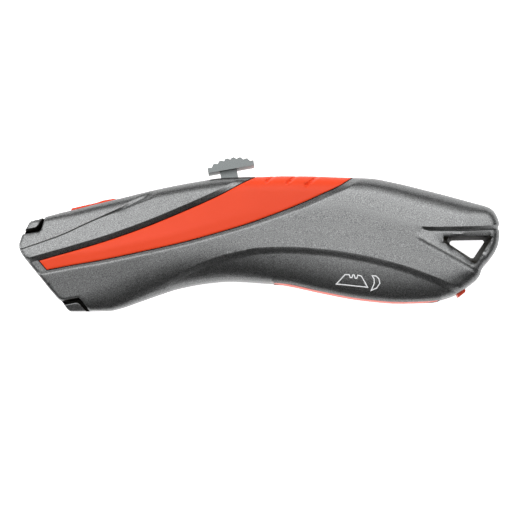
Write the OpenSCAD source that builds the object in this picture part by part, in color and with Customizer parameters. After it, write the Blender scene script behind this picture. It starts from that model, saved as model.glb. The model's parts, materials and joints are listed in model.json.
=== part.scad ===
// Retractable utility knife, lying on its right side.
// +X runs from nose to tail, +Y towards the thumb slider, +Z up through the left side.

/* [Body] */
// Half of the body's thickness at the handle
half_thick = 12.5; // [12:0.1:13]
// Depth of the recess that holds a grip inlay
inlay_depth = 1.4; // [1.2:0.1:1.6]
// Gap round each grip inlay
inlay_gap = 0.35; // [0.2:0.05:0.6]

/* [Blade] */
// Length of the cutting edge of a standard trapezoid blade
blade_length = 61; // [60:0.5:62]
// Length of the back of the blade
blade_back = 34; // [32:0.5:36]
// Height of the blade, cutting edge to back
blade_height = 18.7; // [18:0.1:19]
// Thickness of the blade
blade_thick = 0.62; // [0.5:0.02:0.65]
// Number of spare blades in the magazine
spare_count = 5; // [1:1:5]

/* [Slide] */
// Angle between the slide and the knife's length
slide_tilt = 10; // [9:0.5:11]
// Distance that the blade carrier travels
slide_travel = 29; // [25:1:29]
// Number of teeth on the thumb slider
slider_teeth = 6; // [4:1:7]

/* [Fasteners] */
// Radius of a body screw's shank
screw_r = 1.6; // [1.4:0.1:1.8]
// Radius of a body screw's head
screw_head_r = 3; // [2.8:0.1:3.2]
// Radius of the magazine's hinge pin
magazine_pin_r = 1.5; // [1.3:0.1:1.6]
// Radius of the release button's hinge pin
release_pin_r = 1; // [0.8:0.1:1.1]
// Radial clearance of a running fit
running_gap = 0.05; // [0.03:0.01:0.08]

/* [Hidden] */

grey = [0.42, 0.43, 0.44];
orange = [0.93, 0.33, 0.2];
steel = [0.75, 0.76, 0.78];
black = [0.12, 0.12, 0.13];

// The drawing's zero lies inside the body; the part's origin is under the middle of its box.
centre_x = 0.2;
centre_y = 0.05;
big = 200;

// Upper outline, nose to tail, and lower outline, nose to tail.
spine = [
    [-87.1, -3.6], [-85.8, 0.2], [-84.9, 1.9], [-83.5, 4.5], [-78.4, 6.1], [-65.3, 9.7],
    [-50.7, 13.3], [-36, 16.8], [-21.5, 19.5], [-13.5, 20.6], [0.5, 21.1], [11.3, 21.4],
    [22.3, 21.2], [40.5, 20.5], [48, 19.2], [62.5, 15.7], [77, 11.7], [83.5, 9.7],
    [85.4, 8.2], [86.5, 6.2], [87.3, 3.7], [87.5, 1]
];
belly = [
    [-87.1, -5.2], [-86.5, -6.8], [-83.5, -10.9], [-71.8, -24.1], [-70.8, -25.7], [-68.5, -28],
    [-61.5, -27.8], [-54.5, -27.5], [-50.7, -26.7], [-43.4, -24.1], [-36, -21.3], [-29, -19.1],
    [-18, -17.2], [-10.5, -16.6], [-3.3, -16.9], [7.7, -17.9], [22.3, -20.9], [37, -23.6],
    [51.5, -24.8], [62.5, -24.4], [69.7, -22.4], [76.4, -18.3], [80, -14.6], [80.5, -12.8],
    [83.3, -9.1], [85.9, -5.5], [87, -3.4], [87.5, -1]
];
// Half thickness along the ridge of the side, against the handle's, by length.
ridge_rise = [
    [-87.1, -3.7], [-80, -3.2], [-60, -2.4], [-40, -1.6], [-20, -0.6], [-5, 0], [74, 0], [87.5, -0.9]
];
// Height of that ridge line on the side.
ridge_y = [[-87.1, -8], [-80, -9], [-58, -6], [-29, 2], [0, 5], [87.5, 3]];
// Fall of the side from the ridge, in mm per mm, towards the spine and towards the belly.
spine_fall = [[-87.1, 0.14], [-50, 0.14], [-10, 0], [87.5, 0]];
belly_fall = [[-87.1, 0.18], [-45, 0.2], [-5, 0], [87.5, 0]];
// Width of the rounded shoulder along the spine and along the belly.
spine_round = [[-87.1, 0.8], [-83, 1.6], [-70, 2.6], [-40, 3.6], [0, 4.6], [70, 4.6], [87.5, 0.9]];
belly_round = [
    [-87.1, 0.8], [-71, 1.8], [-66, 4], [-50, 6.5], [-20, 7.5], [20, 8.5], [60, 8], [76, 4], [87.5, 0.9]
];
// Height of the straight wall at the edge, as a share of the height of the side.
edge_wall = 0.42;
round_steps = 3;
stations = concat(
    [-87.1, -85.8, -84.9, -83.5, -81, -78.4, -75, -71.8, -70.8, -68.5, -65],
    [for (x = [-60 : 7.5 : 72]) x],
    [76.4, 80, 80.5, 83.5, 85.4, 86.5, 87.3, 87.5]
);

// The slide: u runs rearwards along the cutting edge, v from the edge towards the spine.
slide_zero = [-71.5, -20.7];
blade_slot = 0.95;
carrier_front = 24;
carrier_rear = 73;
carrier_low = 3;
rail_low = 19;
rail_high = 22;
tower_front = 61.8;
tower_low = 8;
tower_high = 26.8;
stem_u = 67.1;
stem_length = 6.2;
stem_width = 4.8;
pocket_gap = 0.25;
stem_foot = 18.5;
cap_low = 33.2;
cap_front = 59.7;
cap_rear = 76.7;
tooth_pitch = 2.36;
first_tooth = 62.5;
cap_width = 12.4;
carrier_top = 5;
carrier_bottom = -3.6;

// Release button
release_hinge = [26.5, 26.4];
button_front = 8.2;
button_width = 9;
button_floor = 23.4;
button_low = 25;

// Toothed rail for the lock, by distance from the parting plane.
rail_inner = 3.3;
rail_outer = 4.8;

// Magazine
magazine_hinge = [7.5, -13.5];
magazine_tilt = -8;
spare_zero = [5.5, 2.5];
magazine_width = 11.4;
magazine_reach = 62;
magazine_heel = 5.1;
magazine_inset = 0.15;
spare_pitch = blade_thick + 0.02;

// Latch: its own X runs along the belly towards the tail, and its Y points out of the body.
latch_zero = [73.4, -20.4];
latch_turn = 31.5;
latch_width = 6;

// Body screws: place, how far the head's seat lies from the parting plane, the boss's height and radius.
screws = [[-57, -21.2, 3.6, 5.2, 3.2], [-3, -10, 7, 9, 3.2], [57, 7.5, 9, 10, 4.6]];
boss_r = 3.2;
head_height = 2;

// Lanyard hole: corners on the outer faces, and how far it draws in to the middle.
lanyard_mouth = [[65.6, -2.6], [66.6, -1.3], [83.6, -0.9], [84.5, -1.7], [78.6, -11], [77.2, -10.8]];
lanyard_throat = [[69.3, -3.3], [70.1, -2], [81.8, -1.8], [82.3, -2.5], [78.2, -8.6], [77.3, -8.5]];

// Side panel of the inlay, drawn past the spine.
inlay_outline = [
    [-79.4, -9.9], [-57.5, -3.6], [-43, 1.4], [-28.6, 7.2], [-14.1, 13.7], [-7, 17.7],
    [-2.6, 20.1], [-1.2, 20.9], [-1.2, 30], [34.2, 30], [34.2, 20.3], [29.4, 17.7], [22.1, 14.3], [14.8, 11],
    [7.6, 8.1], [-3.3, 4.1], [-14.1, 0.9], [-28.5, -3], [-43, -6.2], [-57.5, -9.2], [-76.8, -13.1]
];

// Slope of a smooth curve through points at point i, and its value at x.
function knot_slope(p, i) =
    i == 0 ? (p[1][1] - p[0][1]) / (p[1][0] - p[0][0])
    : i == len(p) - 1 ? (p[i][1] - p[i - 1][1]) / (p[i][0] - p[i - 1][0])
    : let (
        a = (p[i][1] - p[i - 1][1]) / (p[i][0] - p[i - 1][0]),
        b = (p[i + 1][1] - p[i][1]) / (p[i + 1][0] - p[i][0])
    ) a * b <= 0 ? 0 : 2 * a * b / (a + b);
function span_of(p, x, i = 0) = i >= len(p) - 2 || x <= p[i + 1][0] ? i : span_of(p, x, i + 1);
function curve(p, x) =
    let (
        i = span_of(p, x),
        w = p[i + 1][0] - p[i][0],
        t = min(1, max(0, (x - p[i][0]) / w)),
        s = 1 - t
    )
    p[i][1] * s * s * (1 + 2 * t) + p[i + 1][1] * t * t * (3 - 2 * t)
    + w * t * s * (knot_slope(p, i) * s - knot_slope(p, i + 1) * t);

// Half section of the body at length x, drawn in by d; z is measured from the parting plane.
function half_section(x, d) =
    let (
        low = curve(belly, x) + d,
        high = curve(spine, x) - d,
        size = high - low,
        ridge = min(high - 0.4 * size, max(low + 0.3 * size, curve(ridge_y, x))),
        top = half_thick + curve(ridge_rise, x) - d,
        b = min(0.35 * size, max(0.6, curve(belly_round, x) - d / 2)),
        s = min(0.35 * size, max(0.6, curve(spine_round, x) - d / 2)),
        b_top = top - curve(belly_fall, x) * (ridge - low - b),
        s_top = top - curve(spine_fall, x) * (high - s - ridge)
    )
    concat(
        [[low, 0]],
        [for (k = [0 : round_steps]) let (a = 90 * k / round_steps)
            [low + b * (1 - cos(a)), b_top * (edge_wall + (1 - edge_wall) * sin(a))]],
        [[ridge, top]],
        [for (k = [round_steps : -1 : 0]) let (a = 90 * k / round_steps)
            [high - s * (1 - cos(a)), s_top * (edge_wall + (1 - edge_wall) * sin(a))]],
        [[high, 0]]
    );

// Half of the body, as a solid drawn in by d, between two lengths.
module half_body(d, from = -big, to = big) {
    xs = [for (x = stations) if (x >= from && x <= to) x];
    rings = [for (x = xs) half_section(x, d)];
    n = len(rings[0]);
    m = len(xs);
    points = [for (i = [0 : m - 1]) for (p = rings[i]) [xs[i], p[0], p[1]]];
    sides = [for (i = [0 : m - 2]) for (j = [0 : n - 1]) let (k = (j + 1) % n, a = i * n, b = a + n)
        each [[a + j, b + k, b + j], [a + j, a + k, b + k]]];
    nose_cap = [[for (j = [n - 1 : -1 : 0]) j]];
    tail_cap = [[for (j = [0 : n - 1]) (m - 1) * n + j]];
    polyhedron(points, concat(sides, nose_cap, tail_cap), convexity = 6);
}

module in_slide() {
    translate([slide_zero[0], slide_zero[1], 0]) rotate(slide_tilt) children();
}

// A block between two corners given in u, v and z.
module block(a, b) {
    translate(a) cube(b - a);
}

module prism(points, low, high) {
    translate([0, 0, low]) linear_extrude(high - low) polygon(points);
}

function blade_outline(grow = 0) =
    let (lead = (blade_length - blade_back) / 2)
    [
        [-1.7 * grow, -grow], [blade_length + 1.7 * grow, -grow],
        [blade_length - lead + 0.6 * grow, blade_height + grow], [lead - 0.6 * grow, blade_height + grow]
    ];

// Trapezoid blade with bevelled edge and two notches in its back.
module blade_solid() {
    half = blade_thick / 2;
    difference() {
        prism(blade_outline(), -half, half);
        for (side = [0, 1]) mirror([0, 0, side])
            translate([-1, 0, 0]) rotate([90, 0, 90]) linear_extrude(blade_length + 2)
                    polygon([[-0.1, 0.03], [1.8, half], [1.8, half + 1], [-0.1, half + 1]]);
        for (u = [24.5, 36.5]) {
            translate([u, blade_height - 2.2, -1]) cylinder(h = 2, r = 1.5, $fn = 32);
            block([u - 1.5, blade_height - 2.2, -1], [u + 1.5, blade_height + 1, 1]);
        }
    }
}

module coil_spring(r, wire, low, high, turns, step) {
    // Wire centre line as a helix with flat ends, swept with a six-sided section.
    count = turns * step;
    rise = (high - low - wire) / count;
    ring = [for (k = [0 : 5]) [wire / 2 * cos(60 * k), wire / 2 * sin(60 * k)]];
    points = [for (i = [0 : count]) for (c = ring)
        let (a = 360 * i / step, arm = r + c[0]) [arm * cos(a), arm * sin(a), low + wire / 2 + rise * i + c[1]]];
    sides = [for (i = [0 : count - 1]) for (j = [0 : 5]) let (k = (j + 1) % 6, a = i * 6, b = a + 6)
        each [[a + j, a + k, b + k], [a + j, b + k, b + j]]];
    polyhedron(points, concat(sides, [[for (j = [5 : -1 : 0]) j]], [[for (j = [0 : 5]) count * 6 + j]]));
}

// Space that the magazine needs, at rest and as it swings.
magazine_front = [[4.2, -19], [4.2, -11.5], [3.9, -2], [5.2, 2.2], [8, 4.6]];
module magazine_space(gap) {
    half = magazine_width / 2 + gap;
    translate([0, 0, -half]) linear_extrude(2 * half) {
        intersection() {
            polygon(concat(magazine_front, [[66.6, -3.6], [71, -9], [71, -40], [4.2, -40]]));
            translate(magazine_hinge) circle(r = magazine_reach + 0.5, $fn = 180);
        }
        translate(magazine_hinge) circle(r = magazine_heel + 0.3, $fn = 48);
    }
}

module magazine_profile() {
    flush = [for (x = [65 : -4 : 5]) [x, curve(belly, x) + magazine_inset]];
    intersection() {
        polygon(concat(
            [[4.6, -12], [5.2, -9], [7.4, -3], [9.2, -2.6], [60.8, -9.9], [63.6, -12]],
            [[68.4, -12.6], [69.4, -16.5], [68.6, -22]],
            flush,
            [[4.6, -17]]
        ));
        translate(magazine_hinge) circle(r = magazine_reach, $fn = 180);
    }
}

module in_magazine() {
    translate([spare_zero[0], spare_zero[1], 0]) rotate(magazine_tilt) children();
}

module in_latch() {
    translate([latch_zero[0], latch_zero[1], 0]) rotate(latch_turn) mirror([0, 1, 0]) children();
}

module place() {
    translate([-centre_x, -centre_y, half_thick]) children();
}

// Space for everything that moves or is held inside, on both sides of the parting plane.
module insides() {
    in_slide() {
        block([-40, -0.5, -blade_slot / 2], [74, blade_height + 0.5, blade_slot / 2]);
        block([carrier_front - slide_travel - 1, carrier_low - 0.3, carrier_bottom - 0.6],
            [carrier_rear + 1, rail_high + 0.3, carrier_top + 0.3]);
        block([tower_front - slide_travel - 1, carrier_low - 0.3, carrier_bottom - 0.6],
            [carrier_rear + 1, tower_high + 0.5, carrier_top + 0.3]);
        block([carrier_front + 7.8, tower_high + 0.5, rail_inner - 0.05],
            [carrier_rear + 0.7, tower_high + 1.6, rail_outer + 0.05]);
        stem_front = stem_u - stem_length / 2 - slide_travel - 0.6;
        block([stem_front, rail_high, -stem_width / 2 - 0.35],
            [stem_u + stem_length / 2 + 0.6, 45, stem_width / 2 + 0.35]);
        button_half = button_width / 2 + 0.15;
        block([button_front - 0.4, button_floor, -button_half], [release_hinge[0] + 2.6, 45, button_half]);
    }
    magazine_space(0.3);
    in_latch() {
        block([-0.6, -6, -latch_width / 2 - 0.2], [6.8, -2, latch_width / 2 + 0.2]);
        block([-2.3, -2.6, -latch_width / 2 - 0.2], [4.1, 6, latch_width / 2 + 0.2]);
    }
}

// Hollows between the casting's walls, on one side of the parting plane.
nose_hollow = [
    [-66, -24.8], [-52, -24.4], [-43, -21.6], [-33, -17.8], [-14, -14], [-7, -13.6],
    [-7, 17], [-20, 16], [-40, 12], [-50, 9.6], [-62, 6.4]
];
nose_depth = 5.6;
handle_hollow = [
    [-7, -6], [2.6, -6], [2.6, -1], [5, 5], [60, -2.2], [64.5, 2.6],
    [64, 12], [48, 16.2], [40, 17.4], [11, 18.4], [-7, 17.6]
];
handle_depth = 9.6;
belly_hollow = [
    [2.6, -8], [12, -10], [20, -18], [37, -20.6], [51.5, -21.8], [61, -21.4], [66, -12], [60, -3], [8, 4]
];
belly_depth = 8.4;

module hollow() {
    prism(nose_hollow, -1, nose_depth);
    prism(handle_hollow, -1, handle_depth);
    prism(belly_hollow, -1, belly_depth);
}

module lanyard_hole() {
    for (side = [0, 1]) mirror([0, 0, side]) hull() {
        prism(lanyard_throat, 0, 1);
        prism(lanyard_mouth, half_thick, half_thick + 1);
    }
    prism(lanyard_throat, -2, 2);
}

// Guides and screw bosses that stand up from a shell's inner face.
module stiffeners() {
    for (s = screws) translate([s[0], s[1], 0]) cylinder(h = s[3], r = s[4], $fn = 48);
    in_slide() {
        block([4, -2.6, blade_slot / 2], [carrier_rear, carrier_low - 0.3, nose_depth + 0.2]);
        block([button_front, rail_high + 0.3, blade_slot / 2],
            [release_hinge[0] + 4, tower_high + 1, nose_depth + 0.2]);
    }
    translate([magazine_hinge[0], magazine_hinge[1], magazine_width / 2 + 0.3])
        cylinder(h = 2.6, r = boss_r, $fn = 48);
}

module inlay_recess() {
    difference() {
        prism(inlay_outline, -1, big);
        half_body(inlay_depth, -84, 50);
    }
}

module shell_blank() {
    difference() {
        union() {
            difference() {
                half_body(0);
                hollow();
            }
            stiffeners();
        }
        insides();
        lanyard_hole();
        inlay_recess();
        magazine_bore();
        release_bore();
    }
}

module magazine_bore() {
    translate([magazine_hinge[0], magazine_hinge[1], -8.2]) cylinder(h = 16.4, r = magazine_pin_r, $fn = 48);
}

module release_bore() {
    in_slide() translate([release_hinge[0], release_hinge[1], -6.5])
        cylinder(h = 13, r = release_pin_r, $fn = 32);
}

// Notches in the left shell's nose, and the lugs of the right shell that fill them.
upper_notch = [[-90, -0.9], [-84.2, 0], [-79.9, 0.6], [-79, 1.5], [-77.8, 5.6], [-77.4, 12], [-90, 12]];
lower_notch = [
    [-74, -24.8], [-70.2, -24.1], [-65.4, -23.2], [-64.1, -24.6], [-61.4, -28.2], [-61, -32], [-74, -32]
];
upper_tab = [[-90, 0.6], [-84.3, 1.4], [-81.1, 2], [-80, 3], [-78.8, 5.6], [-78.4, 12], [-90, 12]];
lower_tab = [
    [-74, -26.4], [-70, -25.7], [-66.2, -25], [-65.1, -25.5], [-62.7, -28.3], [-62.6, -32], [-74, -32]
];

module nose_tabs() {
    intersection() {
        half_body(0.3);
        union() {
            prism(upper_tab, 0, big);
            prism(lower_tab, 0, big);
        }
    }
    prism([[-84, 2.4], [-81.2, 3], [-80.2, 4.6], [-82.6, 4.4]], -1, 1);
    prism([[-69, -26.6], [-66.5, -26], [-65.2, -27.2], [-68, -27.4]], -1, 1);
}

module left_shell() {
    color(grey) place() difference() {
        shell_blank();
        prism(upper_notch, -1, big);
        prism(lower_notch, -1, big);
        for (s = screws) translate([s[0], s[1], -1]) cylinder(h = s[3], r = screw_r + 0.05, $fn = 32);
    }
}

module right_shell() {
    color(grey) place() union() {
        difference() {
            mirror([0, 0, 1]) shell_blank();
            for (s = screws) translate([s[0], s[1], -half_thick - 1]) {
                cylinder(h = half_thick + 1 - s[2], r = screw_head_r + 0.3, $fn = 48);
                cylinder(h = half_thick + 2, r = screw_r + 0.2, $fn = 32);
            }
        }
        nose_tabs();
    }
}

module inlay_half() {
    difference() {
        intersection() {
            half_body(0.25, -84, 50);
            linear_extrude(big) offset(delta = -inlay_gap) polygon(inlay_outline);
        }
        half_body(inlay_depth, -84, 50);
        for (k = [0 : 2]) translate([4.9 + 8 * k, 21, 0]) rotate(-135)
            translate([-4, -0.5, -1]) cube([8, 1, 20]);
    }
}

module left_grip_inlay() {
    color(orange) place() inlay_half();
}

module right_grip_inlay() {
    color(orange) place() mirror([0, 0, 1]) inlay_half();
}

module body_screws() {
    color(steel) place() for (s = screws) translate([s[0], s[1], -s[2]]) {
        difference() {
            translate([0, 0, -head_height]) cylinder(h = head_height, r = screw_head_r, $fn = 48);
            for (turn = [0, 90]) rotate(turn) translate([-1.6, -0.3, -3]) cube([3.2, 0.6, 2.1]);
        }
        cylinder(h = s[2] + s[3] - 1.4, r = screw_r, $fn = 32);
    }
}

module magazine_pin() {
    color(steel) place() translate([magazine_hinge[0], magazine_hinge[1], -8.1])
        cylinder(h = 16.2, r = magazine_pin_r, $fn = 48);
}

module release_pin() {
    color(steel) place() in_slide() translate([release_hinge[0], release_hinge[1], -6.4])
        cylinder(h = 12.8, r = release_pin_r, $fn = 32);
}

module release_button() {
    half = button_width / 2;
    color(orange) place() in_slide() difference() {
        union() {
            translate([0, 0, -half]) linear_extrude(button_width) polygon([
                [button_front, 26], [button_front, 28.9], [button_front + 0.6, 29.3], [14.5, 29.6],
                [17.5, 29.7], [20.5, 30.15], [24.2, 30.1], [release_hinge[0] + 1.8, 28.4],
                [release_hinge[0] + 1.8, 25.2], [22, 25.2]
            ]);
            block([12, button_low, -2], [14.5, 27, 2]);
        }
        for (k = [0 : 3]) translate([button_front + 1.8 + 1.9 * k, 29.6 + 0.08 * k, -half - 1])
            cylinder(h = button_width + 2, r = 0.3, $fn = 24);
        translate([release_hinge[0], release_hinge[1], -half - 1])
            cylinder(h = button_width + 2, r = release_pin_r + running_gap, $fn = 32);
        translate([17.5, 20, 0]) rotate([-90, 0, 0]) cylinder(h = 7, r = 1.7, $fn = 32);
    }
}

module release_spring() {
    color(steel) place() in_slide() translate([17.5, 0, 0]) rotate([-90, 0, 0])
        coil_spring(1.15, 0.35, button_floor, 26.9, 4, 10);
}

module lock_rail() {
    color(steel) place() in_slide() difference() {
        block([carrier_front + 8, tower_high + 0.6, rail_inner],
            [carrier_rear + 0.5, tower_high + 1.5, rail_outer]);
        for (k = [0 : 3]) block([64.5 - 9 * k, tower_high + 0.4, 3], [67 - 9 * k, tower_high + 1, 5]);
    }
}

module blade_carrier() {
    color(black) place() in_slide() difference() {
        union() {
            block([carrier_front, carrier_low, blade_thick / 2], [carrier_rear, blade_height, carrier_top]);
            block([carrier_front + 6, rail_low, carrier_bottom], [carrier_rear, rail_high, carrier_top]);
            block([carrier_front + 6, blade_height - 0.1, blade_thick / 2],
                [carrier_rear, rail_low + 0.1, carrier_top]);
            block([tower_front, tower_low, carrier_bottom], [carrier_rear, tower_high, carrier_top]);
            translate([24.5, blade_height - 2.2, -blade_thick / 2]) cylinder(h = 1, r = 1.4, $fn = 32);
        }
        block([stem_u - stem_length / 2 - pocket_gap, stem_foot - 6, -stem_width / 2 - pocket_gap],
            [stem_u + stem_length / 2 + pocket_gap, tower_high + 1, stem_width / 2 + pocket_gap]);
        for (u = [34, 46]) block([u, 7, 2.2], [u + 8, 15, carrier_top + 1]);
        for (u = [40, 54]) translate([u, rail_low + 1.4, carrier_bottom - 1])
            cylinder(h = 3, r = 0.8, $fn = 24);
    }
}

module blade() {
    color(steel) place() in_slide() blade_solid();
}

module blade_clip() {
    color(steel) place() in_slide() difference() {
        union() {
            block([26, 5, -1.3], [58, 17.8, -blade_thick / 2]);
            block([36, 15, carrier_bottom], [58, 17.8, -1]);
            block([36, 17.2, carrier_bottom - 0.25], [58, rail_high - 0.4, carrier_bottom]);
        }
        for (u = [30, 42]) block([u, 8, -2], [u + 9, 14, 0]);
        for (u = [40, 54]) translate([u, rail_low + 1.4, carrier_bottom - 1])
            cylinder(h = 3, r = 0.8, $fn = 24);
    }
}

module clip_rivets() {
    color(steel) place() in_slide() for (u = [40, 54]) translate([u, rail_low + 1.4, 0])
        translate([0, 0, carrier_bottom - 0.25]) cylinder(h = 2.2, r = 0.75, $fn = 24);
}

// Serrated cap on a stem that drops into the carrier's tower; the teeth stand on an arc.
function cap_arc(u) = cap_low + 4.1 - 0.035 * pow(u - 68.4, 2);
module thumb_slider() {
    slab = cap_low + 1.8;
    valley = tooth_pitch / 2 - 0.05;
    valley_depth = 0.6;
    teeth = [for (k = [slider_teeth - 1 : -1 : 0]) let (u = first_tooth + tooth_pitch * k) each [
        [u + valley, cap_arc(u + valley) - valley_depth],
        [u + 0.35, cap_arc(u)],
        [u - 0.45, cap_arc(u)],
        [u - valley, cap_arc(u - valley) - valley_depth]
    ]];
    color([0.6, 0.6, 0.6]) place() in_slide() {
        translate([0, 0, -cap_width / 2]) linear_extrude(cap_width)
            polygon(concat(
                [[cap_front, cap_low], [cap_rear, cap_low], [cap_rear, slab]],
                teeth,
                [[cap_front, slab]]
            ));
        block([stem_u - stem_length / 2, stem_foot, -stem_width / 2],
            [stem_u + stem_length / 2, cap_low + 0.1, stem_width / 2]);
    }
}

module lock_leaf() {
    color(steel) place() in_slide() {
        block([stem_u - 1.6, tower_high + 0.9, stem_width / 2],
            [stem_u + 1.6, tower_high + 2.9, stem_width / 2 + 0.25]);
    }
}

module slider_spring() {
    color(steel) place() in_slide() translate([stem_u, 0, 0]) rotate([-90, 0, 0])
        coil_spring(1.9, 0.45, stem_foot - 6, stem_foot, 4, 10);
}

module blade_magazine() {
    color(orange) place() difference() {
        translate([0, 0, -magazine_width / 2]) linear_extrude(magazine_width) magazine_profile();
        in_magazine() mirror([0, 1, 0]) {
            depth = spare_count * spare_pitch / 2 + 0.2;
            prism(blade_outline(0.3), -depth, depth + 0.5);
        }
        in_magazine() block([-5, -9, -3.4], [70, 10, 3.4]);
        translate([magazine_hinge[0], magazine_hinge[1], -10])
            cylinder(h = 20, r = magazine_pin_r + running_gap, $fn = 48);
    }
}

module spare_blades() {
    color(steel) place() in_magazine() mirror([0, 1, 0])
        for (k = [0 : spare_count - 1]) translate([0, 0, (k - (spare_count - 1) / 2) * spare_pitch])
            blade_solid();
}

module magazine_clip() {
    low = spare_count * spare_pitch / 2 + 0.02;
    color(steel) place() in_magazine() mirror([0, 1, 0])
        block([20, 9.5, low], [42, 17, low + 0.4]);
}

module magazine_latch() {
    half = latch_width / 2;
    color(orange) place() in_latch() translate([0, 0, -half]) linear_extrude(latch_width) polygon([
        [-1.9, 1.6], [-1.9, -2.4], [-0.2, -2.4], [-0.2, -5.6], [3.4, -5.6],
        [3.4, -2.4], [1.6, -2.4], [1.6, 0.8], [1.1, 1.25]
    ]);
}

module latch_spring() {
    color(steel) place() in_latch() translate([0, -4, 0]) rotate([0, 90, 0])
        coil_spring(1.3, 0.35, 3.4, 6.7, 3, 10);
}

left_shell();
right_shell();
left_grip_inlay();
right_grip_inlay();
body_screws();
magazine_pin();
release_pin();
release_button();
release_spring();
lock_rail();
blade_carrier();
blade();
blade_clip();
clip_rivets();
thumb_slider();
lock_leaf();
slider_spring();
blade_magazine();
spare_blades();
magazine_clip();
magazine_latch();
latch_spring();
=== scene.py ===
"""Looks of a retractable utility knife that lies on its right side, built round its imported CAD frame.

Lengths inside this script are millimetres in the knife's drawing: X from nose to tail, Y towards the
spine, and z from the parting plane outwards. to_row() takes them to the row frame in metres.
"""
import json
import math

import bpy
import numpy as np
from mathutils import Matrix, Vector
from mathutils.geometry import delaunay_2d_cdt
from mathutils.kdtree import KDTree


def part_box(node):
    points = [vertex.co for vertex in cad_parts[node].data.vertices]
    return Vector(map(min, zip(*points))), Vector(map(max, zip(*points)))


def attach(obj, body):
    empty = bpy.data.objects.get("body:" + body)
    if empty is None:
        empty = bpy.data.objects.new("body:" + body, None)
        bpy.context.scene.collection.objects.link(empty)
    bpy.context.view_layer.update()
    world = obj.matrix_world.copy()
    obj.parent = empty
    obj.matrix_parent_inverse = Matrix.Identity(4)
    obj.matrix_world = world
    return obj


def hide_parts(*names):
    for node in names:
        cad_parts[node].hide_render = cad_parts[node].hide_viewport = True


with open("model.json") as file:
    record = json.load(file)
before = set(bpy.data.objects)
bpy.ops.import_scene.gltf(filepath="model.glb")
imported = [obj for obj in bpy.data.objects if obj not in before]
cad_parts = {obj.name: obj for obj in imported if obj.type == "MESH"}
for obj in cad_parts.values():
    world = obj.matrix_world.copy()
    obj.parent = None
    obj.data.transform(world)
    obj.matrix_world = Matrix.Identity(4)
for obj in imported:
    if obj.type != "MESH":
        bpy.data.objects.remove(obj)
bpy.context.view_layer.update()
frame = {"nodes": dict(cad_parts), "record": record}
MM = 0.001

# ---------------------------------------------------------------- drawing of the body, in millimetres
NOSE_X, TAIL_X, LOWEST_Y = -87.1, 87.5, -28.0
SPINE = [
    (-87.1, -3.6), (-85.8, 0.2), (-84.9, 1.9), (-83.5, 4.5), (-78.4, 6.1), (-65.3, 9.7),
    (-50.7, 13.3), (-36, 16.8), (-21.5, 19.5), (-13.5, 20.6), (0.5, 21.1), (11.3, 21.4),
    (22.3, 21.2), (40.5, 20.5), (48, 19.2), (62.5, 15.7), (77, 11.7), (83.5, 9.7),
    (85.4, 8.2), (86.5, 6.2), (87.3, 3.7), (87.5, 1),
]
BELLY = [
    (-87.1, -5.2), (-86.5, -6.8), (-83.5, -10.9), (-79.5, -15.8), (-76.1, -20), (-74.2, -22.2),
    (-73, -23.5), (-71.8, -24.4), (-70.8, -25.7), (-68.5, -28), (-61.5, -27.95), (-54.5, -27.8),
    (-50.7, -27), (-43.4, -24.5), (-36, -21.9), (-29, -19.7), (-18, -17.7), (-10.5, -17.1),
    (-3.3, -17.4), (2, -17.8), (7.7, -18), (22.3, -20.9), (37, -23.6), (51.5, -24.8),
    (62.5, -24.5), (69.7, -22.9), (76.4, -18.85), (80.2, -15.3), (80.9, -13.2), (83.9, -9.4),
    (86.3, -5.8), (87.1, -3.5), (87.5, -1),
]
# The side's cross-section by length: thickness at its ridge against HALF_THICK, height of that
# ridge, slopes from it to the spine and the belly, and crown of the slope to the spine.
HALF_THICK = 12.5
RIDGE_RISE = [
    (-87.1, -3.7), (-80, -3.2), (-60, -2.4), (-40, -1.6), (-20, -0.6), (-5, 0), (74, 0),
    (87.5, -0.9),
]
RIDGE_Y = [(-87.1, -8), (-80, -9), (-58, -6), (-29, 0), (-5, 7), (30, 9), (60, 1), (87.5, 0)]
SPINE_FALL = [(-87.1, 0.14), (-50, 0.14), (-25, 0.05), (-5, 0), (60, 0.01), (87.5, 0.03)]
BELLY_FALL = [(-87.1, 0.19), (-45, 0.205), (-5, 0.075), (30, 0.045), (60, 0.06), (87.5, 0.08)]
CROWN = [(-87.1, 0), (-45, 0), (0, 0.003), (50, 0.004), (87.5, 0.006)]
# Rounded shoulder inside the outline: its width, and how far it falls to the drafted wall.
SPINE_ROUND = [
    (-87.1, 1), (-84, 1), (-79, 2.2), (-72, 3.3), (-50, 3.8), (-20, 5.2), (20, 6.5), (40, 6.2),
    (60, 7.2), (75, 7), (83, 4), (87.5, 3),
]
SPINE_DROP = [
    (-87.1, 0.9), (-84, 0.9), (-79, 2.2), (-70, 3.2), (-50, 3.4), (-20, 4.4), (40, 5.3), (75, 5.6),
    (84, 4), (87.5, 3),
]
BELLY_ROUND = [
    (-87.1, 1), (-72, 1), (-69.5, 1.5), (-66, 5), (-58, 9), (-47, 10.5), (-30, 11), (-3, 13),
    (15, 13.5), (45, 13.5), (60, 12), (70, 9.5), (76, 7.5), (80, 4), (84, 2.4), (87.5, 3),
]
BELLY_DROP = [
    (-87.1, 0.9), (-72, 0.9), (-69.5, 1.2), (-66, 1.4), (-58, 1.9), (-47, 3.2), (-30, 5), (-3, 5),
    (5.5, 3.7), (60, 3.6), (67, 3.5), (75, 3.4), (80, 3), (87.5, 3),
]
# Drafted wall from the shoulder down to its foot, which is near the parting plane, or further out
# within the span that the magazine opens in.
DRAFT = [(-87.1, 0.015), (-72, 0.015), (-66, 0.06), (60, 0.06), (75, 0.04), (87.5, 0.03)]
WALL_FOOT = 0.8
BAY_FOOT = 7.6
BAY_SPAN = (5.5, 66.5)

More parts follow.
